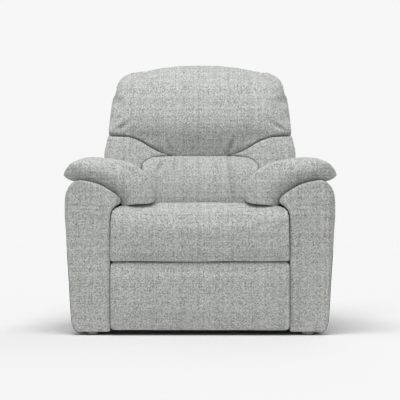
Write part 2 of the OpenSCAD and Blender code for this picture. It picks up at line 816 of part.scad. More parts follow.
// The lumbar cushion from the front, between the two wings
module lumbar_outline() {
    arc = [[lumbar_x, crease_z - 54], [lumbar_x - 15, crease_z - 35],
        [lumbar_x - 35, crease_z - 22], [lumbar_x - 60, crease_z - 13],
        [lumbar_x - 95, crease_z - 7], [tuck_x, crease_z - 4]];
    mirrored = [for (i = [len(arc) - 1:-1:0]) [-arc[i][0], arc[i][1]]];
    polygon(concat([[-lumbar_x, back_low_z], [lumbar_x, back_low_z]], arc, mirrored));
}

module back_cushion_lumbar() {
    t = lumbar_t;
    color(cover_grey) in_back() intersection() {
        y_block(-t, t + back_post_y - 3) lumbar_outline();
        x_plate(-lumbar_x, 2 * lumbar_x)
            polygon([[2, back_low_z], [2, crease_z], [-t * 0.62, crease_z], [-t * 0.80, crease_z - 25],
                [-t * 0.97, crease_z - 90], [-t, back_low_z + 60], [-t * 0.94, back_low_z + 12],
                [-t * 0.84, back_low_z]]);
    }
}

// The head cushion's bowl-shaped lower edge on the right, from its outer end in, and let down
function head_bowl(down) = [for (p = [[0, 80], [0.17, 77], [0.30, 73], [0.41, 65], [0.51, 54],
    [0.61, 38], [0.71, 25], [0.80, 15], [0.89, 7], [1, 2]])
    [wide_x - p[0] * (wide_x - tuck_x), crease_z + p[1] - down]];

// The head cushion from the front: a bowl-shaped lower edge and round upper corners
module head_outline() {
    bowl = head_bowl(0);
    crown = [[wide_x - 10, crease_z + 160], [wide_x - 24, back_top - 100],
        [wide_x - 38, back_top - 56], [wide_x - 70, back_top - 24], [wide_x - 125, back_top - 8]];
    right = concat([for (i = [len(bowl) - 1:-1:0]) bowl[i]], crown, [[0, back_top]]);
    left = [for (i = [len(right) - 2:-1:0]) [-right[i][0], right[i][1]]];
    polygon(concat(right, left));
}

module back_cushion_head() {
    t = head_t;
    color(cover_grey) in_back() difference() {
        intersection() {
            y_block(-t, t + back_rear_y) head_outline();
            x_plate(-wide_x, 2 * wide_x)
                polygon([[back_rear_y, crease_z], [back_rear_y, back_top - 30],
                    [back_rear_y - 16, back_top - 6], [back_rear_y - 40, back_top],
                    [-t * 0.35, back_top - 4], [-t * 0.65, back_top - 26], [-t * 0.85, back_top - 75],
                    [-t * 0.95, back_top - 150], [-t, crease_z + 150],
                    [-t * 0.93, crease_z + 40], [-t * 0.75, crease_z]]);
        }
        box([-bracket_x - plate_t - 1, 2, crease_z - 50],
            [bracket_x + plate_t + 1, back_rear_y + 5, frame_top + 1]);
    }
}

// The panel beside the lumbar cushion; it widens above the arm
module back_wing(s) {
    low = back_low_z;
    t = head_t - 4;
    bowl = head_bowl(6);
    top = [for (i = [0:len(bowl) - 2]) bowl[i]];
    color(cover_grey) side(s) in_back() difference() {
        y_block(-t, t + back_rear_y)
            polygon(concat([[lumbar_x + 4, low], [wing_x, low], [wing_x, wing_step_z],
                [wide_x - 14, wing_step_z + 6], [wide_x + 1, wing_step_z + 26]], top,
                [[tuck_x + 22, crease_z - 1], [lumbar_x - 92, crease_z - 2],
                [lumbar_x - 57, crease_z - 8], [lumbar_x - 30, crease_z - 17],
                [lumbar_x - 9, crease_z - 31], [lumbar_x + 4, crease_z - 50]]));
        box([0, 2, low - 5], [bracket_x + plate_t + 3, back_rear_y + 5, frame_top]);
        x_plate(0, wide_x + 5)
            polygon([[-t - 5, low - 5], [-t * 0.80, low - 5], [-t * 0.86, low + 60],
                [-t, low + 150], [-t - 5, low + 150]]);
    }
}
module back_wing_left() { back_wing(-1); }
module back_wing_right() { back_wing(1); }

module outside_back() {
    t = 12;
    color(cover_grey) in_back() y_block(back_rear_y + 0.5, t) offset(10) offset(-10)
        polygon([[-wing_x + 4, -10], [wing_x - 4, -10], [wing_x - 4, wing_step_z],
            [wide_x - 22, wing_step_z + 12], [wide_x - 12, wing_step_z + 60],
            [wide_x - 34, back_top - 100], [wide_x - 70, back_top - 46], [0, back_top - 30],
            [70 - wide_x, back_top - 46], [34 - wide_x, back_top - 100],
            [12 - wide_x, wing_step_z + 60], [22 - wide_x, wing_step_z + 12],
            [-wing_x + 4, wing_step_z]]);
}

arm_cover_left();
arm_cover_right();
arm_pad_left();
arm_pad_right();
arm_panel_left();
arm_panel_right();
arm_posts_left();
arm_posts_right();
arm_top_board_left();
arm_top_board_right();
floor_glides();
base_rail_left();
base_rail_right();
front_cross_tube();
rear_cross_tube();
base_bolts();
rear_panel();
release_cup();
release_pin();
release_cable();
release_handle();
side_plate_left();
side_plate_right();
side_plate_pins();
slide_blocks();
seat_rail_left();
seat_rail_right();
seat_rail_front();
seat_rail_rear();
seat_springs();
seat_cushion();
seat_dust_cover();
seat_bolts();
torque_tube();
swing_link_left();
swing_link_right();
swing_pins();
long_link_left();
long_link_right();
control_link_left();
control_link_right();
footrest_board();
footrest_pad();
footrest_bracket_left();
footrest_bracket_right();
footrest_bolts();
back_bracket_left();
back_bracket_right();
back_post_left();
back_post_right();
back_top_rail();
back_low_rail();
back_webbing();
back_cushion_lumbar();
back_cushion_head();
back_wing_left();
back_wing_right();
outside_back();
back_bolts();
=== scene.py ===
import json
import math
import bpy
import bmesh
import numpy as np
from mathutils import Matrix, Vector


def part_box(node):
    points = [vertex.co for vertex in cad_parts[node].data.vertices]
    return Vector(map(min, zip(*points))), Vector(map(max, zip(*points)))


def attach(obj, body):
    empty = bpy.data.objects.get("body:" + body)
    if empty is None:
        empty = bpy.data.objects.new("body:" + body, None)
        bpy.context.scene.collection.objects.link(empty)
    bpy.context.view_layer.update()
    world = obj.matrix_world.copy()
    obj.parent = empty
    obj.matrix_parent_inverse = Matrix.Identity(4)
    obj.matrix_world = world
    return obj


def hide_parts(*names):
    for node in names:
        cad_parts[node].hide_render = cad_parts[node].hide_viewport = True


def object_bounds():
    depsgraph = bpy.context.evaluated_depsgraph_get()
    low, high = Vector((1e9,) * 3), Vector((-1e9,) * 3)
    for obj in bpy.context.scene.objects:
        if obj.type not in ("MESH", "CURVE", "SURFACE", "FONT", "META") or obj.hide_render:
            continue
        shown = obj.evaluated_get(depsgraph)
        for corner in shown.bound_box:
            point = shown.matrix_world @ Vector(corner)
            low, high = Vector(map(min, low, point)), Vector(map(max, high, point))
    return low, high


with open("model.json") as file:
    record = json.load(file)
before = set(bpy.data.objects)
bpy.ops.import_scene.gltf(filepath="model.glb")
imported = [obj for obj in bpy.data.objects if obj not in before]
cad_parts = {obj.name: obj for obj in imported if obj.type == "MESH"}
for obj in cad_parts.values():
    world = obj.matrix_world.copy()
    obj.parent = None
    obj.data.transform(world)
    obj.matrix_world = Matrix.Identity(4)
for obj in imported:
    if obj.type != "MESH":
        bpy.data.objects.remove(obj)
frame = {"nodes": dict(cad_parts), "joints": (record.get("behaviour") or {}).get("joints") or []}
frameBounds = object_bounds()
nodes = frame["nodes"]
scene = bpy.context.scene

# Places that several pieces share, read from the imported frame
joints = {joint["name"]: joint for joint in frame["joints"]}
backPivot = np.array(joints["back_recline"]["pos_m"])
backLean = math.radians(19)
sides = ("left", "right")


cameraValues = {"distance": 6.0, "height": 0.485, "viewWidth": 1.428, "sensor": 36}


# A long lens straight in front, level with the seat
def makeCamera():
    data = bpy.data.cameras.new("camera")
    data.sensor_width = cameraValues["sensor"]
    data.lens = cameraValues["sensor"] * cameraValues["distance"] / cameraValues["viewWidth"]
    camera = bpy.data.objects.new("camera", data)
    scene.collection.objects.link(camera)
    camera.location = (0, frameBounds[0].y - cameraValues["distance"], cameraValues["height"])
    camera.rotation_euler = (math.pi / 2, 0, 0)
    scene.camera = camera


studioValues = {
    "lamps": {
        "top": {"place": (-0.25, -1.3, 3.5), "size": 2.0, "power": 88},
        "side": {"place": (-2.8, -2.6, 2.0), "size": 2.4, "power": 2},
        "front": {"place": (0.6, -4.6, 1.1), "size": 2.6, "power": 5},
        "rear": {"place": (1.2, 3.0, 2.6), "size": 2.4, "power": 30},
    },
    "aim": (0, 0, 0.55), "air": 0.93, "airStrength": 0.43, "backdrop": 0.925, "floorHalf": 9,
    "floorTone": 0.9, "floorRoughness": 0.9,
}


# One soft square lamp that looks at the chair
def makeLamp(name, place, size, power):
    data = bpy.data.lights.new(name, "AREA")
    data.size = size
    data.energy = power
    lamp = bpy.data.objects.new(name, data)
    scene.collection.objects.link(lamp)
    lamp.location = place
    aim = Vector(studioValues["aim"]) - Vector(place)
    lamp.rotation_euler = aim.to_track_quat("-Z", "Y").to_euler()


# Pale air that lights the chair softly, in front of a backdrop a little brighter than it
def makeAir():
    world = bpy.data.worlds.new("studio")
    world.use_nodes = True
    tree = world.node_tree
    light = tree.nodes["Background"]
    air, backdrop = studioValues["air"], studioValues["backdrop"]
    light.inputs["Color"].default_value = (air, air, air, 1)
    light.inputs["Strength"].default_value = studioValues["airStrength"]
    seen = tree.nodes.new("ShaderNodeBackground")
    seen.inputs["Color"].default_value = (backdrop, backdrop, backdrop, 1)
    path = tree.nodes.new("ShaderNodeLightPath")
    choice = tree.nodes.new("ShaderNodeMixShader")
    tree.links.new(path.outputs["Is Camera Ray"], choice.inputs[0])
    tree.links.new(light.outputs[0], choice.inputs[1])
    tree.links.new(seen.outputs[0], choice.inputs[2])
    tree.links.new(choice.outputs[0], tree.nodes["World Output"].inputs["Surface"])
    scene.world = world


# A plain pale floor that takes the chair's shadow and otherwise runs into the backdrop
def makeFloor():
    half = studioValues["floorHalf"]
    mesh = bpy.data.meshes.new("floor")
    mesh.from_pydata([(-half, -half, 0), (half, -half, 0), (half, half, 0), (-half, half, 0)],
                     [], [(0, 1, 2, 3)])
    floor = bpy.data.objects.new("floor", mesh)
    scene.collection.objects.link(floor)
    material = bpy.data.materials.new("floorPaint")
    material.use_nodes = True
    shader = material.node_tree.nodes["Principled BSDF"]
    tone = studioValues["floorTone"]
    shader.inputs["Base Color"].default_value = (tone, tone, tone, 1)
    shader.inputs["Roughness"].default_value = studioValues["floorRoughness"]
    mesh.materials.append(material)
    floor.is_shadow_catcher = True


makeCamera()
for lampName, lampValues in studioValues["lamps"].items():
    makeLamp(lampName, **lampValues)
makeAir()
makeFloor()
scene.view_settings.view_transform = "Standard"
print("camera, lights and floor made")


# A mesh's points as rows of x, y and z
def pointsOf(mesh):
    flat = np.empty(len(mesh.vertices) * 3, np.float32)
    mesh.vertices.foreach_get("co", flat)
    return flat.reshape(-1, 3).astype(float)


# A mesh's point normals
def normalsOf(mesh):
    flat = np.empty(len(mesh.vertices) * 3, np.float32)
    mesh.vertex_normals.foreach_get("vector", flat)
    return flat.reshape(-1, 3).astype(float)


def setPoints(mesh, points):
    mesh.vertices.foreach_set("co", points.astype(np.float32).ravel())
    mesh.update()


# Replaces an object's mesh by what its modifiers make of it
def bakeModifiers(piece):
    graph = bpy.context.evaluated_depsgraph_get()
    baked = bpy.data.meshes.new_from_object(piece.evaluated_get(graph))
    old = piece.data
    piece.modifiers.clear()
    piece.data = baked
    bpy.data.meshes.remove(old)
    baked.name = piece.name


weldGap = 1e-5
smoothShare = 0.5


# A copy of a CAD node's mesh, welded, cut into even small squares and rounded off
def softBlank(name, node, voxel, rounding):
    mesh = nodes[node].data.copy()
    mesh.materials.clear()
    welded = bmesh.new()
    welded.from_mesh(mesh)
    bmesh.ops.remove_doubles(welded, verts=welded.verts, dist=weldGap)
    bmesh.ops.recalc_face_normals(welded, faces=welded.faces)
    welded.to_mesh(mesh)
    welded.free()
    piece = bpy.data.objects.new(name, mesh)
    scene.collection.objects.link(piece)
    cells = piece.modifiers.new("cells", "REMESH")
    cells.mode = "VOXEL"
    cells.voxel_size = voxel
    even = piece.modifiers.new("even", "SMOOTH")
    even.factor = smoothShare
    even.iterations = rounding
    bakeModifiers(piece)
    return piece


# Names a group of points. The weights are rounded to tenths, so that each tenth is one call.
def weighPoints(piece, name, weights):
    group = piece.vertex_groups.new(name=name)
    tenths = np.rint(np.clip(weights, 0, 1) * 10).astype(int)
    for tenth in range(1, 11):
        chosen = np.nonzero(tenths == tenth)[0].tolist()
        if chosen:
            group.add(chosen, tenth / 10, "REPLACE")


# Rounds a piece further where its weights are high
def roundOff(piece, weights, times):
    weighPoints(piece, "rounder", weights)
    even = piece.modifiers.new("rounder", "SMOOTH")
    even.factor = smoothShare
    even.iterations = times
    even.vertex_group = "rounder"
    bakeModifiers(piece)
    piece.vertex_groups.clear()


def refinePiece(piece):
    finer = piece.modifiers.new("finer", "SUBSURF")
    finer.levels = 1
    finer.render_levels = 1
    bakeModifiers(piece)


# Moves every point along its normal by its own distance
def pushPoints(piece, distance):
    move = np.broadcast_to(distance, (len(piece.data.vertices),))
    setPoints(piece.data, pointsOf(piece.data) + normalsOf(piece.data) * move[:, None])


# Stretches one axis evenly, so that the points end at low and at high. None leaves an end alone.
def stretchAxis(points, axis, low, high):
    values = points[:, axis]
    first, last = values.min(), values.max()
    low = first if low is None else low
    high = last if high is None else high
    points[:, axis] = low + (values - first) * (high - low) / (last - first)


# Stretches an arm's piece across, so that it ends a little outside its box on the chair's outer
# side and at the box on the inner side
def stretchOut(points, side, box, outward):
    stretchAxis(points, 0, box[0].x - (outward if side == "left" else 0),
                box[1].x + (outward if side == "right" else 0))


# The distance of each [a, b] point from a path, and how far along the path it is, from 0 to 1
def alongPath(flat, path):
    path = np.array(path, float)
    lengths = np.linalg.norm(np.diff(path, axis=0), axis=1)
    starts = np.concatenate([[0], np.cumsum(lengths)])
    best = np.full(len(flat), 1e9)
    where = np.zeros(len(flat))
    for i, length in enumerate(lengths):
        direction = (path[i + 1] - path[i]) / length
        offset = flat - path[i]
        t = np.clip(offset @ direction, 0, length)
        gap = np.linalg.norm(offset - t[:, None] * direction, axis=1)
        nearer = gap < best
        best[nearer] = gap[nearer]
        where[nearer] = (starts[i] + t[nearer]) / starts[-1]
    return best, where


# Widths are shares of the groove's own width, and depths of its own depth
seamValues = {"swell": 0.28, "swellAt": 2.4, "swellWidth": 1.5, "stitch": 0.22, "pucker": 0.02}
foldValues = {"ridge": 0.35, "ridgeAt": 2.2, "ridgeWidth": 1.3, "fade": 0.7, "tip": 0.02}


# A sewn line: a bell-shaped groove with a low swell at each side, puckered by a sine along it
def seamShape(flat, path, width, depth):
    gap, where = alongPath(flat, path)
    length = np.linalg.norm(np.diff(np.array(path, float), axis=0), axis=1).sum()
    groove = -depth * np.exp(-(gap / width) ** 2)
    beside = (gap - seamValues["swellAt"] * width) / (seamValues["swellWidth"] * width)
    swell = seamValues["swell"] * depth * np.exp(-beside ** 2)
    turns = 2 * np.pi * where * length / seamValues["pucker"]
    stitches = 1 + seamValues["stitch"] * np.sin(turns)
    return groove * stitches + swell


# A soft fold: a bell-shaped groove beside a low ridge, both fading at the ends as a half sine
def foldShape(flat, path, width, depth):
    gap, where = alongPath(flat, path)
    tip = foldValues["tip"]
    fade = np.sin(np.pi * np.clip(where, tip, 1 - tip)) ** foldValues["fade"]
    inner = np.exp(-(gap / width) ** 2)
    beside = (gap - foldValues["ridgeAt"] * width) / (foldValues["ridgeWidth"] * width)
    return depth * fade * (foldValues["ridge"] * np.exp(-beside ** 2) - inner)


fitValues = {"bins": 72, "passes": 4, "pathSteps": 20, "fadeShare": 0.1}


# Scales a cross-section out from a centre, so that its outline follows a path. The way out is by
# polar angle: the path's radius over the section's own largest radius there, and the inside
# points follow by the cube of their share of that radius. Each pass mends what the last one left.
def fitOutline(flat, centre, path):
    side = np.where(flat[:, 0] < 0, -1.0, 1.0)
    offset = np.stack([np.abs(flat[:, 0]), flat[:, 1]], axis=1) - centre
    angle = np.arctan2(offset[:, 1], offset[:, 0])
    corners = np.array(path, float) - centre
    steps = np.linspace(0, len(corners) - 1, fitValues["pathSteps"] * len(corners))
    goal = np.stack([np.interp(steps, np.arange(len(corners)), corners[:, k]) for k in (0, 1)],
                    axis=1)
    goalAngle = np.arctan2(goal[:, 1], goal[:, 0])
    goalRadius = np.hypot(goal[:, 0], goal[:, 1])
    bins = fitValues["bins"]
    place = (angle - goalAngle[0]) / (goalAngle[-1] - goalAngle[0]) * bins
    chosen = (place >= 0) & (place < bins)
    fade = ramp(place, 0, fitValues["fadeShare"] * bins)
    for _ in range(fitValues["passes"]):
        radius = np.hypot(offset[:, 0], offset[:, 1]) + 1e-9
        own = np.full(bins, 1e-3)
        np.maximum.at(own, place[chosen].astype(int), radius[chosen])
        own = np.convolve(np.pad(own, 1, mode="edge"), [0.25, 0.5, 0.25], mode="valid")
        ownRadius = np.interp(place, np.arange(bins) + 0.5, own)
        share = np.clip(radius / ownRadius, 0, 1) ** 3
        scale = 1 + (np.interp(angle, goalAngle, goalRadius) / ownRadius - 1) * share * fade
        offset = offset * scale[:, None]
    fitted = centre + offset
    fitted[:, 0] *= side
    return fitted


# A smooth step from 0 at a to 1 at b
def ramp(value, a, b):
    t = np.clip((value - a) / (b - a), 0, 1)
    return t * t * (3 - 2 * t)


waveValues = {"count": 7, "spread": (0.7, 1.5)}


# Slow uneven swelling, as of hand-filled wadding: the mean of a few crossing sine waves of about
# one length, each in its own random direction
def softWaves(points, height, length, seed):
    total = np.zeros(len(points))
    chooser = np.random.default_rng(seed)
    for _ in range(waveValues["count"]):
        direction = chooser.normal(size=3)
        own = length * chooser.uniform(*waveValues["spread"])
        direction *= 2 * np.pi / (own * np.linalg.norm(direction))
        total += np.sin(points @ direction + chooser.uniform(0, 2 * np.pi))
    return height * total / waveValues["count"]


# The back's own leaning frame: across, rear and up, measured from its pivot
backAxes = np.array([[1, 0, 0], [0, math.cos(backLean), -math.sin(backLean)],
                     [0, math.sin(backLean), math.cos(backLean)]])


def toBack(points):
    return (points - backPivot) @ backAxes.T


def fromBack(local):
    return local @ backAxes + backPivot


clothValues = {"pressure": 4.0, "frames": 20, "fabricMass": 0.4, "stretch": 25, "bend": 2.0,
               "quality": 4, "quickShare": 0.4}
swelling = []


# Marks a piece for the shared cloth run. Held points are the ones that a seam or the frame keeps.
def willSwell(piece, held, cap):
    weighPoints(piece, "held", held.astype(float))
    swelling.append((piece, cap))


# Blows up all the marked pieces together. A point's way out is bent to its cap by a tanh curve.
def swellAll():
    before = {}
    for piece, cap in swelling:
        before[piece.name] = pointsOf(piece.data)
        cloth = piece.modifiers.new("cloth", "CLOTH")
        cloth.settings.quality = clothValues["quality"]
        cloth.settings.mass = clothValues["fabricMass"]
        cloth.settings.tension_stiffness = clothValues["stretch"]
        cloth.settings.compression_stiffness = clothValues["stretch"]
        cloth.settings.bending_stiffness = clothValues["bend"]
        cloth.settings.use_pressure = True
        cloth.settings.uniform_pressure_force = clothValues["pressure"]
        cloth.settings.effector_weights.gravity = 0
        cloth.settings.vertex_group_mass = "held"
        cloth.collision_settings.use_collision = False
        cloth.point_cache.frame_start = 1
        cloth.point_cache.frame_end = clothValues["frames"]
    for step in range(1, clothValues["frames"] + 1):
        scene.frame_set(step)
    for piece, cap in swelling:
        bakeModifiers(piece)
        piece.vertex_groups.clear()
        start = before[piece.name]
        move = pointsOf(piece.data) - start
        size = np.linalg.norm(move, axis=1, keepdims=True) + 1e-9
        setPoints(piece.data, start + move * cap * np.tanh(size / cap) / size)
        print("swelled", piece.name, "mean move mm", round(float(size.mean()) * 1000, 1))
    scene.frame_set(1)


# Stores each point's resting direction, which the weave reads to lie flat on every side, ties
# the piece to its body and hides the CAD nodes that it stands for. The slot is not used.
def finishPiece(piece, body, slot, material, fill, *replaced):
    mesh = piece.data
    attribute = mesh.attributes.new("restNormal", "FLOAT_VECTOR", "POINT")
    attribute.data.foreach_set("vector", normalsOf(mesh).astype(np.float32).ravel())
    mesh.shade_smooth()
    mesh.materials.clear()
    mesh.materials.append(material)
    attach(piece, body)
    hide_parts(*replaced)


# A short way to add nodes and join their sockets
class NodeSheet:
    def __init__(self, tree):
        self.tree = tree

    def add(self, kind, inputs=None, **settings):
        node = self.tree.nodes.new(kind)
        for key, value in settings.items():
            setattr(node, key, value)
        for key, value in (inputs or {}).items():
            self.feed(node, key, value)
        return node

    # Joins an output to an input, or writes a plain value there
    def feed(self, node, key, value):
        if isinstance(value, bpy.types.NodeSocket):
            self.tree.links.new(value, node.inputs[key])
        else:
            node.inputs[key].default_value = value

    def math(self, operation, a, b=0.0, c=None):
        inputs = {0: a, 1: b} if c is None else {0: a, 1: b, 2: c}
        return self.add("ShaderNodeMath", inputs, operation=operation).outputs[0]

    def mixColor(self, factor, a, b, blend="MIX"):
        node = self.add("ShaderNodeMix", data_type="RGBA", blend_type=blend)
        self.feed(node, 0, factor)
        self.feed(node, 6, a)
        self.feed(node, 7, b)
        return node.outputs[2]

    def mixValue(self, factor, a, b):
        return self.add("ShaderNodeMix", {0: factor, 2: a, 3: b}, data_type="FLOAT").outputs[0]


# A new shader node group with the named inputs and outputs
def newGroup(name, inputs, outputs):
    tree = bpy.data.node_groups.new(name, "ShaderNodeTree")
    for key, kind in inputs.items():
        tree.interface.new_socket(key, in_out="INPUT", socket_type=kind)
    for key, kind in outputs.items():
        tree.interface.new_socket(key, in_out="OUTPUT", socket_type=kind)
    sheet = NodeSheet(tree)
    return sheet, sheet.add("NodeGroupInput"), sheet.add("NodeGroupOutput")


def newMaterial(name):
    material = bpy.data.materials.new(name)
    material.use_nodes = True
    sheet = NodeSheet(material.node_tree)
    return material, sheet, material.node_tree.nodes["Principled BSDF"]


tweedValues = {"pitch": 0.0029, "light": (0.74, 0.75, 0.73, 1), "mid": (0.47, 0.48, 0.465, 1),
               "dark": (0.215, 0.22, 0.21, 1), "midAt": 0.48, "darkAt": 0.12, "lightAt": 0.88,
               "bump": 0.45, "bumpDepth": 0.0012, "roughness": 0.92, "specular": 0.2,
               "sheen": 0.2, "sheenRoughness": 0.5,
               "topShare": 0.75, "threadShare": 0.3, "sideSharpness": 10.0,
               "wanderScale": 9.0, "wander": 0.012, "slubScale": 150.0, "slubShare": 0.18,
               "cloudScale": 5.0, "cloudGain": 0.10, "cloudBase": 0.95,
               "grooveGain": 0.26, "grooveBase": 0.80, "fuzzScale": 900.0, "fuzz": 0.35}


# One flat weave. Each thread is an arch, |sin| of its place across the thread, and the two
# directions take turns on top in a two-over-two twill. Tone is random for each crossing, with a
# share that runs along each thread.
def makeWeaveGroup():
    sheet, start, end = newGroup(
        "flatWeave", {"U": "NodeSocketFloat", "V": "NodeSocketFloat"},
        {"Height": "NodeSocketFloat", "Tone": "NodeSocketFloat"})
    u, v = start.outputs["U"], start.outputs["V"]
    cellU, cellV = sheet.math("FLOOR", u), sheet.math("FLOOR", v)
    archU = sheet.math("ABSOLUTE", sheet.math("SINE", sheet.math("MULTIPLY", u, math.pi)))
    archV = sheet.math("ABSOLUTE", sheet.math("SINE", sheet.math("MULTIPLY", v, math.pi)))
    turn = sheet.math("FLOORED_MODULO", sheet.math("ADD", cellU, cellV), 4.0)
    over = sheet.math("LESS_THAN", turn, 2.0)
    top = sheet.mixValue(over, archV, archU)
    under = sheet.mixValue(over, archU, archV)
    height = sheet.math("ADD", sheet.math("MULTIPLY", top, tweedValues["topShare"]),
                        sheet.math("MULTIPLY", under, 1 - tweedValues["topShare"]))
    cell = sheet.add("ShaderNodeCombineXYZ", {0: cellU, 1: cellV})
    crossing = sheet.add("ShaderNodeTexWhiteNoise", {"Vector": cell.outputs[0]},
                         noise_dimensions="2D").outputs["Value"]
    threadU = sheet.add("ShaderNodeTexWhiteNoise", {"W": cellU}, noise_dimensions="1D")
    threadV = sheet.add("ShaderNodeTexWhiteNoise", {"W": cellV}, noise_dimensions="1D")
    thread = sheet.mixValue(over, threadV.outputs["Value"], threadU.outputs["Value"])
    sheet.feed(end, "Height", height)
    sheet.feed(end, "Tone", sheet.mixValue(tweedValues["threadShare"], crossing, thread))
    return sheet.tree


# The weave laid on three sides of a piece by its resting direction: each side's share is the
# tenth power of how far the point faces it. The threads wander a little by slow noise. The tone
# picks a colour between dark, mid and light, and the gaps between threads are darker.
def makeTweedGroup():
    weave = makeWeaveGroup()
    sheet, start, end = newGroup("tweed", {"Pitch": "NodeSocketFloat"},
                                 {"Height": "NodeSocketFloat", "Color": "NodeSocketColor"})
    place = sheet.add("ShaderNodeTexCoord").outputs["Object"]
    wander = sheet.add("ShaderNodeTexNoise", {"Vector": place, "Detail": 1.0,
                                              "Scale": tweedValues["wanderScale"]})
    shift = sheet.add("ShaderNodeVectorMath", {0: wander.outputs["Color"], 1: (0.5, 0.5, 0.5)},
                      operation="SUBTRACT")
    reach = (tweedValues["wander"],) * 3
    bent = sheet.add("ShaderNodeVectorMath", {0: shift.outputs[0], 1: reach, 2: place},
                     operation="MULTIPLY_ADD")
    scaled = sheet.add("ShaderNodeVectorMath", {0: bent.outputs[0]}, operation="SCALE")
    sheet.feed(scaled, "Scale", sheet.math("DIVIDE", 1.0, start.outputs["Pitch"]))
    axes = sheet.add("ShaderNodeSeparateXYZ", {0: scaled.outputs[0]}).outputs
    facing = sheet.add("ShaderNodeAttribute", attribute_name="restNormal")
    facings = sheet.add("ShaderNodeSeparateXYZ", {0: facing.outputs["Vector"]}).outputs
    weights = [sheet.math("POWER", sheet.math("ABSOLUTE", axis), tweedValues["sideSharpness"])
               for axis in facings]
    total = sheet.math("ADD", sheet.math("ADD", weights[0], weights[1]),
                       sheet.math("ADD", weights[2], 1e-5))
    heightSum, toneSum = 0.0, 0.0
    for weight, (a, b) in zip(weights, ((1, 2), (0, 2), (0, 1))):
        flat = sheet.add("ShaderNodeGroup", node_tree=weave)
        sheet.feed(flat, "U", axes[a])
        sheet.feed(flat, "V", axes[b])
        share = sheet.math("DIVIDE", weight, total)
        heightSum = sheet.math("MULTIPLY_ADD", flat.outputs["Height"], share, heightSum)
        toneSum = sheet.math("MULTIPLY_ADD", flat.outputs["Tone"], share, toneSum)
    slubs = sheet.add("ShaderNodeTexNoise", {"Vector": place, "Scale": tweedValues["slubScale"],
                                             "Detail": 2.0, "Roughness": 0.6}).outputs["Fac"]
    tone = sheet.math("ADD", sheet.math("MULTIPLY", toneSum, 1 - tweedValues["slubShare"]),
                      sheet.math("MULTIPLY", slubs, tweedValues["slubShare"]))
    tones = sheet.add("ShaderNodeValToRGB", {"Fac": tone})
    stops = tones.color_ramp.elements
    stops[0].position, stops[0].color = tweedValues["darkAt"], tweedValues["dark"]
    stops[1].position, stops[1].color = tweedValues["lightAt"], tweedValues["light"]
    middle = stops.new(tweedValues["midAt"])
    middle.color = tweedValues["mid"]
    cloudy = sheet.add("ShaderNodeTexNoise", {"Vector": place, "Detail": 2.0,
                                              "Scale": tweedValues["cloudScale"]})
    shade = sheet.math("MULTIPLY_ADD", cloudy.outputs["Fac"], tweedValues["cloudGain"],
                       tweedValues["cloudBase"])
    groove = sheet.math("MULTIPLY_ADD", heightSum, tweedValues["grooveGain"],
                        tweedValues["grooveBase"])
    grey = sheet.math("MULTIPLY", shade, groove)
    greyColor = sheet.add("ShaderNodeCombineColor", {0: grey, 1: grey, 2: grey}).outputs[0]
    color = sheet.mixColor(1.0, tones.outputs["Color"], greyColor, "MULTIPLY")
    fuzz = sheet.add("ShaderNodeTexNoise", {"Vector": place, "Detail": 2.0,
                                            "Scale": tweedValues["fuzzScale"]})
    sheet.feed(end, "Height", sheet.math("MULTIPLY_ADD", fuzz.outputs["Fac"],
                                         tweedValues["fuzz"], heightSum))
    sheet.feed(end, "Color", color)
    return sheet.tree


tweedGroup = makeTweedGroup()


# Light grey chenille tweed
def makeTweed():
    material, sheet, shader = newMaterial("tweed")
    weave = sheet.add("ShaderNodeGroup", {"Pitch": tweedValues["pitch"]}, node_tree=tweedGroup)
    bump = sheet.add("ShaderNodeBump", {"Strength": tweedValues["bump"],
                                        "Distance": tweedValues["bumpDepth"],
                                        "Height": weave.outputs["Height"]})
    sheet.feed(shader, "Base Color", weave.outputs["Color"])
    sheet.feed(shader, "Normal", bump.outputs["Normal"])
    shader.inputs["Roughness"].default_value = tweedValues["roughness"]
    shader.inputs["Specular IOR Level"].default_value = tweedValues["specular"]
    shader.inputs["Sheen Weight"].default_value = tweedValues["sheen"]
    shader.inputs["Sheen Roughness"].default_value = tweedValues["sheenRoughness"]
    return material


tweed = makeTweed()


# A grain or mottle: noise at its own scale along each axis, which mixes two colours and gives the
# height
def makeMottleGroup():
    sheet, start, end = newGroup(
        "mottle", {"Scale": "NodeSocketVector", "First": "NodeSocketColor",
                   "Second": "NodeSocketColor"},
        {"Color": "NodeSocketColor", "Height": "NodeSocketFloat"})
    place = sheet.add("ShaderNodeTexCoord").outputs["Object"]
    scaled = sheet.add("ShaderNodeVectorMath", {0: place, 1: start.outputs["Scale"]},
                       operation="MULTIPLY").outputs[0]
    grain = sheet.add("ShaderNodeTexNoise", {"Vector": scaled, "Scale": 1.0, "Detail": 4.0,
                                             "Distortion": 0.4}).outputs["Fac"]
    mask = sheet.add("ShaderNodeMapRange", {"Value": grain, "From Min": 0.3,
                                            "From Max": 0.7}).outputs["Result"]
    sheet.feed(end, "Color", sheet.mixColor(mask, start.outputs["First"],
                                            start.outputs["Second"]))
    sheet.feed(end, "Height", mask)
    return sheet.tree


mottleGroup = makeMottleGroup()

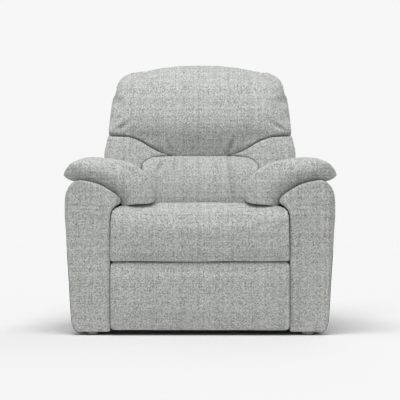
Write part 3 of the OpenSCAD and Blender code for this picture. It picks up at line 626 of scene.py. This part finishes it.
frameFinishes = {
    "timber": {"scale": (60, 7, 60), "first": (0.55, 0.38, 0.21, 1), "second": (0.67, 0.50, 0.31, 1),
               "roughness": 0.6, "metallic": 0.0, "bump": 0.25},
    "uprightTimber": {"scale": (60, 60, 7), "first": (0.54, 0.37, 0.20, 1),
                      "second": (0.66, 0.49, 0.30, 1), "roughness": 0.6, "metallic": 0.0,
                      "bump": 0.25},
    "crossTimber": {"scale": (7, 60, 60), "first": (0.53, 0.37, 0.20, 1),
                    "second": (0.65, 0.49, 0.30, 1), "roughness": 0.6, "metallic": 0.0,
                    "bump": 0.25},
    "blackSteel": {"scale": (400, 400, 400), "first": (0.022, 0.022, 0.024, 1),
                   "second": (0.034, 0.034, 0.036, 1), "roughness": 0.42, "metallic": 0.0,
                   "bump": 0.12},
    "zincPlate": {"scale": (55, 55, 55), "first": (0.50, 0.50, 0.49, 1),
                  "second": (0.66, 0.66, 0.64, 1), "roughness": 0.34, "metallic": 1.0,
                  "bump": 0.03},
    "liningCloth": {"scale": (700, 700, 700), "first": (0.016, 0.016, 0.017, 1),
                    "second": (0.045, 0.045, 0.047, 1), "roughness": 0.95, "metallic": 0.0,
                    "bump": 0.5},
    "webbing": {"scale": (30, 500, 500), "first": (0.020, 0.020, 0.022, 1),
                "second": (0.075, 0.075, 0.078, 1), "roughness": 0.9, "metallic": 0.0,
                "bump": 0.5},
    "felt": {"scale": (600, 600, 600), "first": (0.30, 0.30, 0.295, 1),
             "second": (0.42, 0.42, 0.41, 1), "roughness": 0.95, "metallic": 0.0, "bump": 0.4},
    "plastic": {"scale": (900, 900, 900), "first": (0.030, 0.030, 0.032, 1),
                "second": (0.042, 0.042, 0.044, 1), "roughness": 0.5, "metallic": 0.0,
                "bump": 0.15},
}

frameNodes = {
    "timber": ("arm_panel_left", "arm_panel_right", "arm_top_board_left", "arm_top_board_right",
               "seat_rail_left", "seat_rail_right"),
    "uprightTimber": ("arm_posts_left", "arm_posts_right", "back_post_left", "back_post_right"),
    "crossTimber": ("seat_rail_front", "seat_rail_rear", "back_low_rail", "footrest_board"),
    "blackSteel": ("base_rail_left", "base_rail_right", "front_cross_tube", "rear_cross_tube",
                   "side_plate_left", "side_plate_right", "swing_link_left", "swing_link_right",
                   "long_link_left", "long_link_right", "control_link_left",
                   "control_link_right", "footrest_bracket_left", "footrest_bracket_right",
                   "back_bracket_left", "back_bracket_right", "torque_tube"),
    "zincPlate": ("base_bolts", "side_plate_pins", "swing_pins", "seat_springs", "seat_bolts",
                  "footrest_bolts", "back_bolts", "release_pin"),
    "liningCloth": ("seat_dust_cover",),
    "webbing": ("back_webbing",),
    "plastic": ("slide_blocks", "release_cup", "release_handle", "release_cable"),
    "felt": ("floor_glides",),
}


frameBumpDepth = 0.0004


def giveMaterial(name, material):
    nodes[name].data.materials.clear()
    nodes[name].data.materials.append(material)


# Gives every bare piece of the frame its finish. The outside back's cloth wraps over the top rail.
def finishFrame():
    for finish, values in frameFinishes.items():
        material, sheet, shader = newMaterial(finish)
        mottle = sheet.add("ShaderNodeGroup", {"Scale": values["scale"], "First": values["first"],
                                               "Second": values["second"]},
                           node_tree=mottleGroup)
        bump = sheet.add("ShaderNodeBump", {"Strength": values["bump"], "Distance": frameBumpDepth,
                                            "Height": mottle.outputs["Height"]})
        sheet.feed(shader, "Base Color", mottle.outputs["Color"])
        sheet.feed(shader, "Normal", bump.outputs["Normal"])
        shader.inputs["Roughness"].default_value = values["roughness"]
        shader.inputs["Metallic"].default_value = values["metallic"]
        for name in frameNodes[finish]:
            giveMaterial(name, material)
    giveMaterial("back_top_rail", tweed)


finishFrame()
print("materials made")


# Outlines, darts and folds on the back are points across and up in the back's own frame
headValues = {"voxel": 0.0075, "rounding": 5, "edgeRounding": 22, "shrink": 0.002, "cap": 0.020,
              "fill": 0.7, "front": -0.146, "tuckUnder": 0.024, "centre": (0, 0.45),
              "outline": ((0.365, 0.400), (0.363, 0.430), (0.359, 0.505), (0.352, 0.575),
                          (0.343, 0.614), (0.328, 0.644), (0.307, 0.670), (0.281, 0.689),
                          (0.250, 0.706), (0.210, 0.720), (0.150, 0.733), (0.080, 0.741),
                          (0.000, 0.744)),
              "darts": (((0.112, 0.322), (0.121, 0.345), (0.133, 0.380)), 0.008, 0.011),
              "sideBand": (0.27, 0.34), "topBand": (0.62, 0.70), "lowBand": (0.40, 0.46),
              "heldBelow": 0.43, "heldDown": -0.55, "heldBehind": -0.010,
              "tuckHeights": (0.45, 0.33), "tuckAcross": (0.34, 0.18), "tuckFront": (-0.03, -0.09),
              "waves": (0.0022, 0.16, 3), "frontFacing": (0.1, 0.5), "dartShares": (0.55, 1.0),
              "gatherWidth": 0.0075, "gatherDepth": 0.0046,
              "gathers": (((0.358, 0.410), (0.330, 0.448), (0.300, 0.492)),
                          ((0.362, 0.440), (0.343, 0.476), (0.326, 0.512)),
                          ((0.350, 0.404), (0.310, 0.426), (0.268, 0.446)))}


# The head cushion before its filling: rounder at the sides and top, and held along its lower seam
# and at the back
def makeHeadCushion():
    piece = softBlank("head_cushion", "back_cushion_head", headValues["voxel"],
                      headValues["rounding"])
    pushPoints(piece, -headValues["shrink"])
    local = toBack(pointsOf(piece.data))
    side = ramp(np.abs(local[:, 0]), *headValues["sideBand"])
    top = ramp(local[:, 2], *headValues["topBand"])
    roundOff(piece, np.maximum(side, top) * ramp(local[:, 2], *headValues["lowBand"]),
             headValues["edgeRounding"])
    local = toBack(pointsOf(piece.data))
    facing = normalsOf(piece.data) @ backAxes.T
    lowerEdge = (facing[:, 2] < headValues["heldDown"]) & (local[:, 2] < headValues["heldBelow"])
    behind = local[:, 1] > headValues["heldBehind"]
    willSwell(piece, lowerEdge | behind, headValues["cap"])
    return piece


# Fits the filled head cushion to its outline, tucks its lower edge under, and adds the folds
def dressHeadCushion(piece):
    refinePiece(piece)
    local = toBack(pointsOf(piece.data))
    local[:, [0, 2]] = fitOutline(local[:, [0, 2]], headValues["centre"], headValues["outline"])
    low = ramp(local[:, 2], *headValues["tuckHeights"])
    middle = ramp(np.abs(local[:, 0]), *headValues["tuckAcross"])
    tucked = low * middle * ramp(local[:, 1], *headValues["tuckFront"])
    local[:, 1] += headValues["tuckUnder"] * tucked
    stretchAxis(local, 1, headValues["front"], None)
    setPoints(piece.data, fromBack(local))
    flat = local[:, [0, 2]]
    front = ramp(-normalsOf(piece.data)[:, 1], *headValues["frontFacing"])
    move = softWaves(local, *headValues["waves"])
    dart, width, depth = headValues["darts"]
    for s, share in zip((-1, 1), headValues["dartShares"]):
        move += foldShape(flat, [(s * x, up) for x, up in dart], width, depth * share)
        for gather in headValues["gathers"]:
            move += foldShape(flat, [(s * x, up) for x, up in gather],
                              headValues["gatherWidth"], headValues["gatherDepth"])
    pushPoints(piece, move * front)
    finishPiece(piece, "back", "upholstery", tweed, headValues["fill"], "back_cushion_head")


lumbarValues = {"voxel": 0.0075, "rounding": 5, "shrink": 0.002, "cap": 0.018, "fill": 0.75,
                "front": -0.176, "across": 0.2265, "channelWidth": 0.0055,
                "channelDepth": 0.010, "creaseWidth": 0.009, "creaseDepth": 0.012,
                "heldSides": 0.6, "heldBehind": -0.085, "frontFacing": (-0.1, 0.4),
                "waves": (0.0018, 0.14, 5),
                "right": ((0.113, 0.318), (0.116, 0.25), (0.122, 0.19), (0.134, 0.10)),
                "left": ((-0.090, 0.318), (-0.096, 0.265), (-0.097, 0.235)),
                "crease": ((-0.131, 0.286), (-0.150, 0.250), (-0.166, 0.215))}


def makeLumbarCushion():
    piece = softBlank("lumbar_cushion", "back_cushion_lumbar", lumbarValues["voxel"],
                      lumbarValues["rounding"])
    pushPoints(piece, -lumbarValues["shrink"])
    local = toBack(pointsOf(piece.data))
    facing = normalsOf(piece.data) @ backAxes.T
    sideFaces = np.abs(facing[:, 0]) > lumbarValues["heldSides"]
    behind = local[:, 1] > lumbarValues["heldBehind"]
    willSwell(piece, sideFaces | behind, lumbarValues["cap"])
    return piece


# Adds the lumbar cushion's two sewn channels and its slanting crease
def dressLumbarCushion(piece):
    refinePiece(piece)
    local = toBack(pointsOf(piece.data))
    stretchAxis(local, 0, -lumbarValues["across"], lumbarValues["across"])
    stretchAxis(local, 1, lumbarValues["front"], None)
    setPoints(piece.data, fromBack(local))
    flat = local[:, [0, 2]]
    front = ramp(-normalsOf(piece.data)[:, 1], *lumbarValues["frontFacing"])
    move = softWaves(local, *lumbarValues["waves"])
    width, depth = lumbarValues["channelWidth"], lumbarValues["channelDepth"]
    move += seamShape(flat, lumbarValues["right"], width, depth)
    move += seamShape(flat, lumbarValues["left"], width, depth)
    move += foldShape(flat, lumbarValues["crease"], lumbarValues["creaseWidth"],
                      lumbarValues["creaseDepth"])
    pushPoints(piece, move * front)
    finishPiece(piece, "back", "upholstery", tweed, lumbarValues["fill"], "back_cushion_lumbar")


wingValues = {"voxel": 0.0065, "rounding": 3, "shrink": 0.001, "cap": 0.012, "fill": 0.6,
              "tuckDepth": 0.024, "tuckAcross": (0.27, 0.14), "tuckFront": (-0.03, -0.09),
              "flare": 0.012, "flareHeights": (0.40, 0.31), "flareAcross": (0.30, 0.36),
              "topDrop": 0.012, "topHeights": (0.56, 0.70), "heldFacing": -0.7,
              "waves": (0.0015, 0.12, 11)}


# One side wing. Its inner edge is tucked behind the cushions, its lower outer edge flares out, and
# its top stays below the head cushion's.
def makeWing(side):
    piece = softBlank("wing_" + side, "back_wing_" + side, wingValues["voxel"],
                      wingValues["rounding"])
    pushPoints(piece, -wingValues["shrink"])
    local = toBack(pointsOf(piece.data))
    sunk = ramp(np.abs(local[:, 0]), *wingValues["tuckAcross"])
    sunk *= ramp(local[:, 1], *wingValues["tuckFront"])
    local[:, 1] += wingValues["tuckDepth"] * sunk
    flared = ramp(local[:, 2], *wingValues["flareHeights"])
    flared *= ramp(np.abs(local[:, 0]), *wingValues["flareAcross"])
    local[:, 0] += np.sign(local[:, 0]) * wingValues["flare"] * flared
    top = ramp(local[:, 2], *wingValues["topHeights"])
    local[:, 2] -= wingValues["topDrop"] * top
    local[:, 0] -= np.sign(local[:, 0]) * wingValues["topDrop"] * top
    setPoints(piece.data, fromBack(local))
    facing = normalsOf(piece.data) @ backAxes.T
    willSwell(piece, facing[:, 1] > wingValues["heldFacing"], wingValues["cap"])
    return piece


def dressWing(piece, side):
    refinePiece(piece)
    pushPoints(piece, softWaves(pointsOf(piece.data), *wingValues["waves"]))
    finishPiece(piece, "back", "upholstery", tweed, wingValues["fill"], "back_wing_" + side)


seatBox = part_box("seat_cushion")
seatValues = {"voxel": 0.0075, "rounding": 3, "shrink": 0.001, "cap": 0.008, "fill": 0.8,
              "front": seatBox[0].y - 0.006, "centre": (0, 0.30),
              "outline": ((0.3210, 0.330), (0.3208, 0.400), (0.3198, 0.428), (0.3160, 0.443),
                          (0.3075, 0.458), (0.2960, 0.4655), (0.2800, 0.4695),
                          (0.2400, 0.4725), (0.1500, 0.4750), (0.0000, 0.4760)),
              "across": seatBox[1].x + 0.0040, "under": seatBox[0].z - 0.0015,
              "heldDown": -0.4, "heldBehind": 0.4, "heldSides": 0.75,
              "waves": (0.0018, 0.2, 7)}


def makeSeatCushion():
    piece = softBlank("seat_cushion_cover", "seat_cushion", seatValues["voxel"],
                      seatValues["rounding"])
    pushPoints(piece, -seatValues["shrink"])
    facing = normalsOf(piece.data)
    under = facing[:, 2] < seatValues["heldDown"]
    behind = facing[:, 1] > seatValues["heldBehind"]
    flanks = np.abs(facing[:, 0]) > seatValues["heldSides"]
    willSwell(piece, under | behind | flanks, seatValues["cap"])
    return piece


def dressSeatCushion(piece):
    refinePiece(piece)
    points = pointsOf(piece.data)
    stretchAxis(points, 0, -seatValues["across"], seatValues["across"])
    stretchAxis(points, 1, seatValues["front"], None)
    stretchAxis(points, 2, seatValues["under"], None)
    points[:, [0, 2]] = fitOutline(points[:, [0, 2]], seatValues["centre"], seatValues["outline"])
    setPoints(piece.data, points)
    pushPoints(piece, softWaves(points, *seatValues["waves"]))
    finishPiece(piece, "seat", "upholstery", tweed, seatValues["fill"], "seat_cushion")


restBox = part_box("footrest_pad")
restValues = {"voxel": 0.0065, "rounding": 2, "shrink": 0.0005, "cap": 0.008, "fill": 0.85,
              "front": restBox[0].y - 0.006, "across": restBox[1].x + 0.0050,
              "top": restBox[1].z + 0.001, "heldFacing": -0.7, "waves": (0.0012, 0.2, 9)}


def makeFootrestPad():
    piece = softBlank("footrest_cover", "footrest_pad", restValues["voxel"],
                      restValues["rounding"])
    pushPoints(piece, -restValues["shrink"])
    willSwell(piece, normalsOf(piece.data)[:, 1] > restValues["heldFacing"], restValues["cap"])
    return piece


def dressFootrestPad(piece):
    refinePiece(piece)
    points = pointsOf(piece.data)
    stretchAxis(points, 0, -restValues["across"], restValues["across"])
    stretchAxis(points, 1, restValues["front"], None)
    stretchAxis(points, 2, None, restValues["top"])
    setPoints(piece.data, points)
    pushPoints(piece, softWaves(points, *restValues["waves"]))
    finishPiece(piece, "footrest", "upholstery", tweed, restValues["fill"], "footrest_pad")


padValues = {"voxel": 0.0075, "rounding": 5, "shrink": 0.002, "cap": 0.014, "fill": 0.75,
             "ridge": 0.066, "ridgeBend": 0.018, "lean": 0.20, "leanReach": 0.32,
             "recess": 0.042, "squeeze": 0.38, "squeezeDepths": (0.02, 0.10),
             "outward": 0.005, "forward": 0.004, "below": 0.008, "above": 0.002,
             "heldDown": -0.45, "waves": (0.0018, 0.15, 13),
             "armLine": ((0.453, 0.557), (0.394, 0.551), (0.360, 0.541), (0.325, 0.521),
                         (0.300, 0.504), (0.286, 0.489), (0.286, 0.470))}


# Shapes the front of a pad as a roll along the arm's line. First the depth behind the front is
# squeezed, so that the upper edge turns tightly. Then the face goes back below its ridge by a
# square law, and above it evenly, with a round bend at the ridge by a square root.
def rollPad(points, frontY):
    depth = points[:, 1] - frontY
    squeeze = padValues["squeeze"]
    points[:, 1] = frontY + depth * (squeeze
                                     + (1 - squeeze) * ramp(depth, *padValues["squeezeDepths"]))
    gap, _ = alongPath(np.stack([np.abs(points[:, 0]), points[:, 2]], axis=1),
                       padValues["armLine"])
    past = gap - padValues["ridge"]
    bend = 0.5 * (past + np.sqrt(past ** 2 + padValues["ridgeBend"] ** 2))
    near = ramp(points[:, 1], frontY + padValues["leanReach"], frontY)
    under = np.clip(-past / padValues["ridge"], 0, 1) ** 2
    points[:, 1] += (padValues["lean"] * bend + padValues["recess"] * under) * near


def makeArmPad(side):
    piece = softBlank("arm_pad_cover_" + side, "arm_pad_" + side, padValues["voxel"],
                      padValues["rounding"])
    pushPoints(piece, -padValues["shrink"])
    willSwell(piece, normalsOf(piece.data)[:, 2] < padValues["heldDown"], padValues["cap"])
    return piece


def dressArmPad(piece, side):
    refinePiece(piece)
    points = pointsOf(piece.data)
    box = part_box("arm_pad_" + side)
    rollPad(points, box[0].y)
    stretchOut(points, side, box, padValues["outward"])
    stretchAxis(points, 1, box[0].y - padValues["forward"], box[1].y)
    stretchAxis(points, 2, box[0].z - padValues["below"], box[1].z + padValues["above"])
    setPoints(piece.data, points)
    pushPoints(piece, softWaves(points, *padValues["waves"]))
    finishPiece(piece, "base", "upholstery", tweed, padValues["fill"], "arm_pad_" + side)


armValues = {"voxel": 0.007, "rounding": 4, "outward": 0.0022, "seam": 0.427, "seamWidth": 0.0045,
             "seamDepth": 0.0035, "below": 0.006, "frontFacing": (0.5, 0.9), "frontDepth": 0.010}


# One arm's cover, with a bell-shaped seam groove down its front face
def makeArm(side):
    node = "arm_cover_" + side
    piece = softBlank("arm_upholstery_" + side, node, armValues["voxel"], armValues["rounding"])
    points, facing = pointsOf(piece.data), normalsOf(piece.data)
    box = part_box(node)
    front = ramp(-facing[:, 1], *armValues["frontFacing"])
    front *= ramp(points[:, 1], box[0].y + armValues["frontDepth"], box[0].y)
    gap = np.abs(np.abs(points[:, 0]) - armValues["seam"])
    groove = armValues["seamDepth"] * np.exp(-(gap / armValues["seamWidth"]) ** 2)
    pushPoints(piece, -groove * front)
    points = pointsOf(piece.data)
    stretchOut(points, side, box, armValues["outward"])
    stretchAxis(points, 2, box[0].z - armValues["below"], None)
    setPoints(piece.data, points)
    finishPiece(piece, "base", "upholstery", tweed, None, node)


panelValues = {"voxel": 0.005, "rounding": 4}


# A padded flat panel with soft edges
def makeFlatPanel(name, node, body):
    piece = softBlank(name, node, panelValues["voxel"], panelValues["rounding"])
    finishPiece(piece, body, "upholstery", tweed, None, node)


headCushion = makeHeadCushion()
lumbarCushion = makeLumbarCushion()
wings = {side: makeWing(side) for side in sides}
seatCushion = makeSeatCushion()
footrestPad = makeFootrestPad()
armPads = {side: makeArmPad(side) for side in sides}
print("blanks made")
swellAll()
dressHeadCushion(headCushion)
dressLumbarCushion(lumbarCushion)
dressSeatCushion(seatCushion)
dressFootrestPad(footrestPad)
for side in sides:
    dressWing(wings[side], side)
    dressArmPad(armPads[side], side)
    makeArm(side)
makeFlatPanel("outside_back_cover", "outside_back", "back")
makeFlatPanel("rear_panel_cover", "rear_panel", "base")
print("soft pieces dressed")
